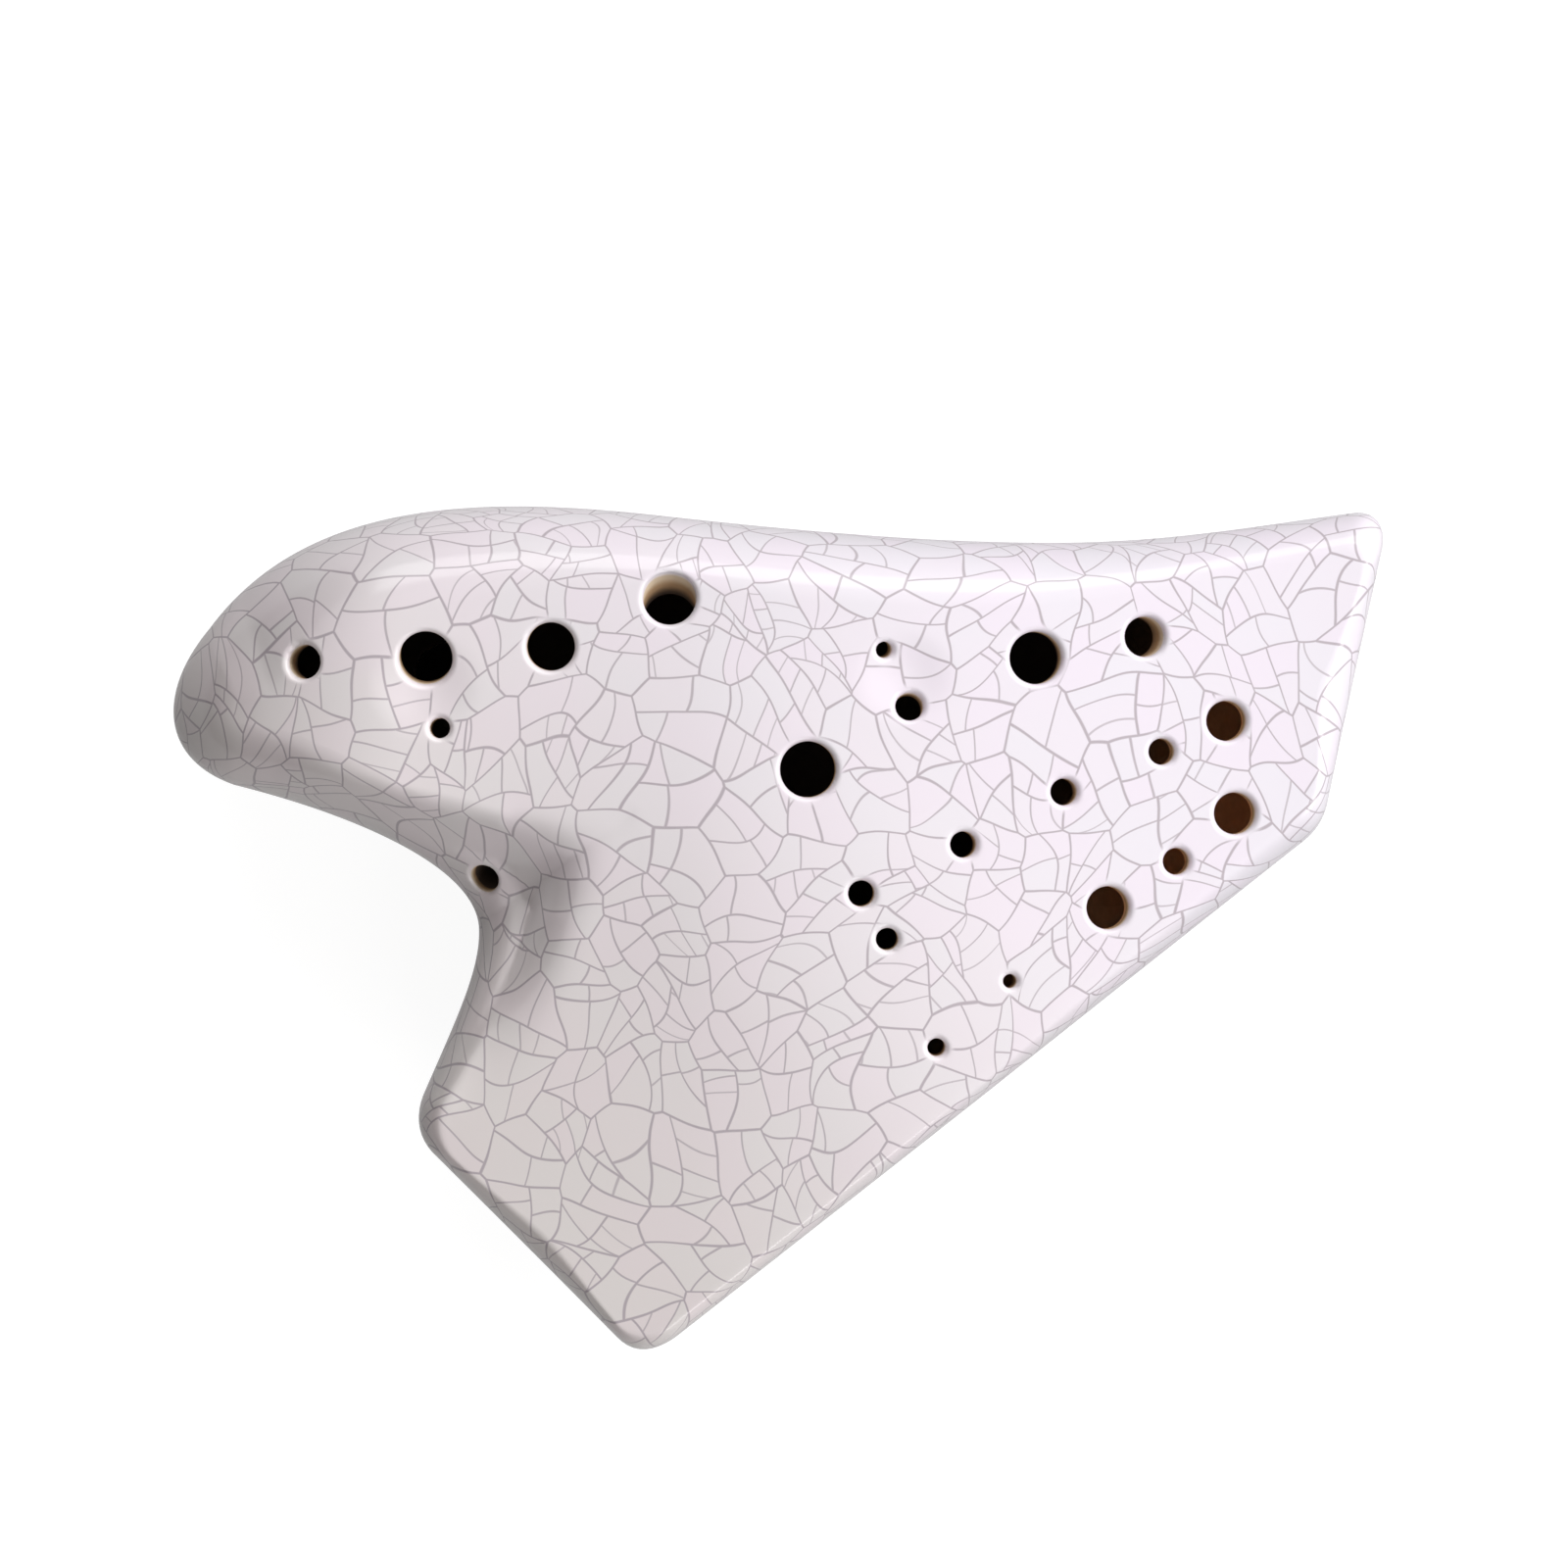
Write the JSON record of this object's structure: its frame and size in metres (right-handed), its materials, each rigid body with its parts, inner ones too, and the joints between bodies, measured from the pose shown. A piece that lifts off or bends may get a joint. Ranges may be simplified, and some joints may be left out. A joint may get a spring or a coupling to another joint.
{
  "type": "triple ocarina",
  "caption": "Transverse clay ocarina with three chambers in one glazed crackle body, finger holes on the front, windows and thumb holes on the back.",
  "frame": {"origin": "under the middle of the outline, on the plane that the back rests on", "axes": "+X from the round lobe to the blunt end, +Y towards the finger edge away from the mouthpiece, +Z out of the finger-hole face"},
  "size_m": [0.2047, 0.1425, 0.044],
  "materials": {
    "glazed_clay": "glossy white crackle glaze",
    "bare_clay": "matt brown fired clay"
  },
  "bodies": {
    "root": {"front_shell": "glazed_clay", "back_shell": "glazed_clay", "low_mid_divider": "bare_clay", "mid_high_divider": "bare_clay", "low_windway_block": "bare_clay", "mid_windway_block": "bare_clay", "high_windway_block": "bare_clay"}
  },
  "joints": []
}
